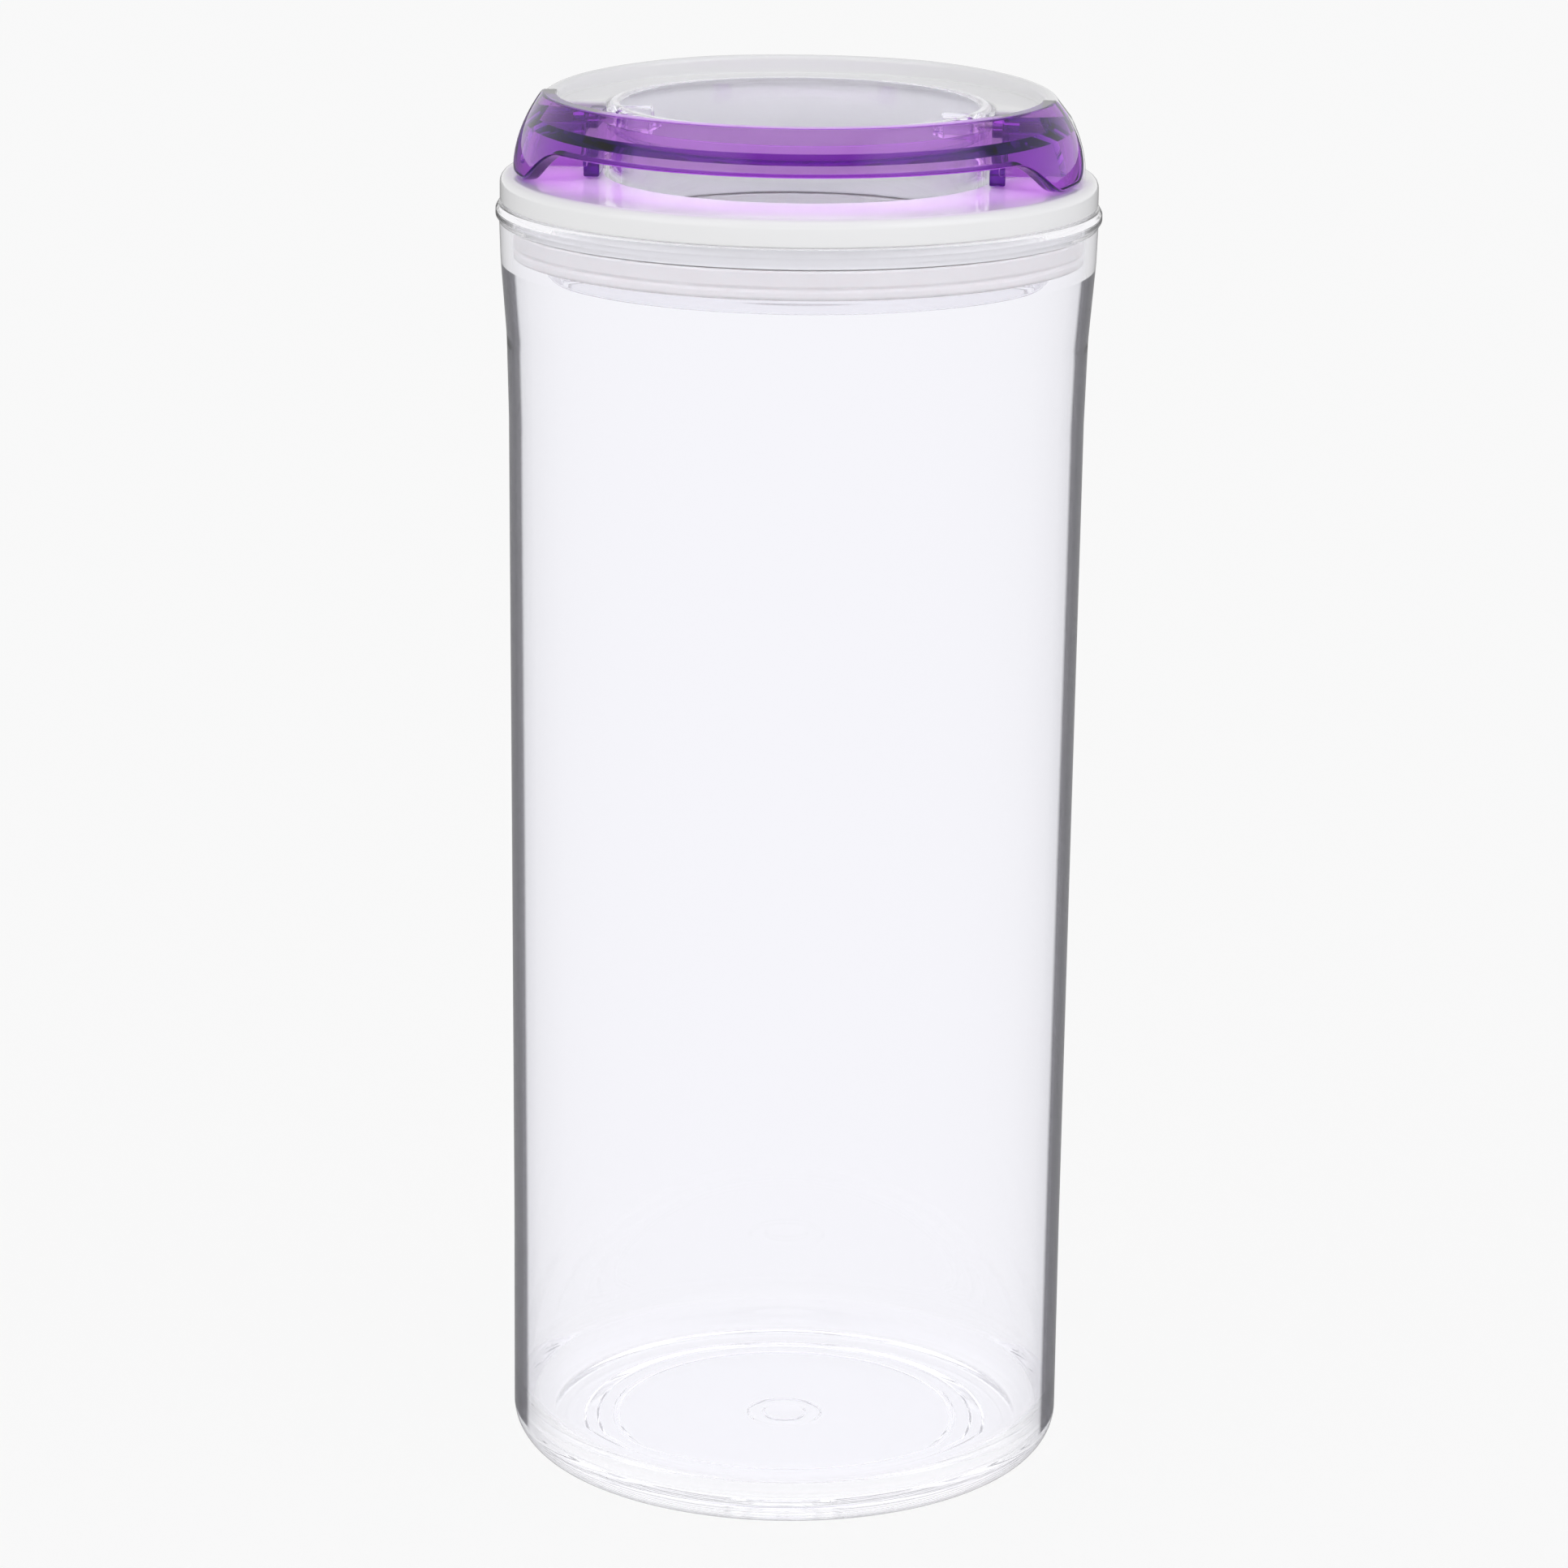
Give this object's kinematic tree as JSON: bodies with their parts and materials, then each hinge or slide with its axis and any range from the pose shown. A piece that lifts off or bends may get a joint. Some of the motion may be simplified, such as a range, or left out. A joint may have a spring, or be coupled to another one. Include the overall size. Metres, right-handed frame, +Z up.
{
  "type": "food canister",
  "caption": "Clear round food canister with a white lid that locks by a translucent flip-up half-ring handle and a silicone seal.",
  "frame": {"origin": "centre of the foot, on the surface the canister stands on", "axes": "+Z up along the jar's axis; the finger side of the flip handle faces -Y; the handle's hinge runs along X"},
  "size_m": [0.1, 0.1, 0.235],
  "materials": {
    "clear_jar": "polished clear acrylic",
    "white_lid": "glossy white moulded plastic",
    "silicone": "soft satin translucent silicone",
    "clear_plunger": "polished clear acrylic",
    "purple_handle": "polished translucent purple acrylic",
    "pin": "plain steel pin"
  },
  "bodies": {
    "jar": {"jar_body": "clear_jar"},
    "lid": {"lid_cover": "white_lid", "press_ring": "white_lid", "seal_ring": "silicone"},
    "plunger": {"plunger": "clear_plunger", "hinge_pin_left": "pin", "hinge_pin_right": "pin"},
    "handle": {"handle": "purple_handle"}
  },
  "joints": [
    {"name": "lid_lift", "type": "slide", "parent": "jar", "child": "lid", "axis": [0, 0, 1], "range_m": [0, 0.06]},
    {"name": "plunger_drop", "type": "slide", "parent": "lid", "child": "plunger", "axis": [0, 0, -1], "range_m": [0, 0.0018], "deforming": ["seal_ring"]},
    {"name": "handle_flip", "type": "hinge", "parent": "plunger", "child": "handle", "pos_m": [0, -0.0075, 0.2295], "axis": [-1, 0, 0], "range_deg": [0, 90]}
  ],
  "couplings": [
    {"joint": "plunger_drop", "follows": "handle_flip", "m_per_rad": 0.0011459}
  ]
}
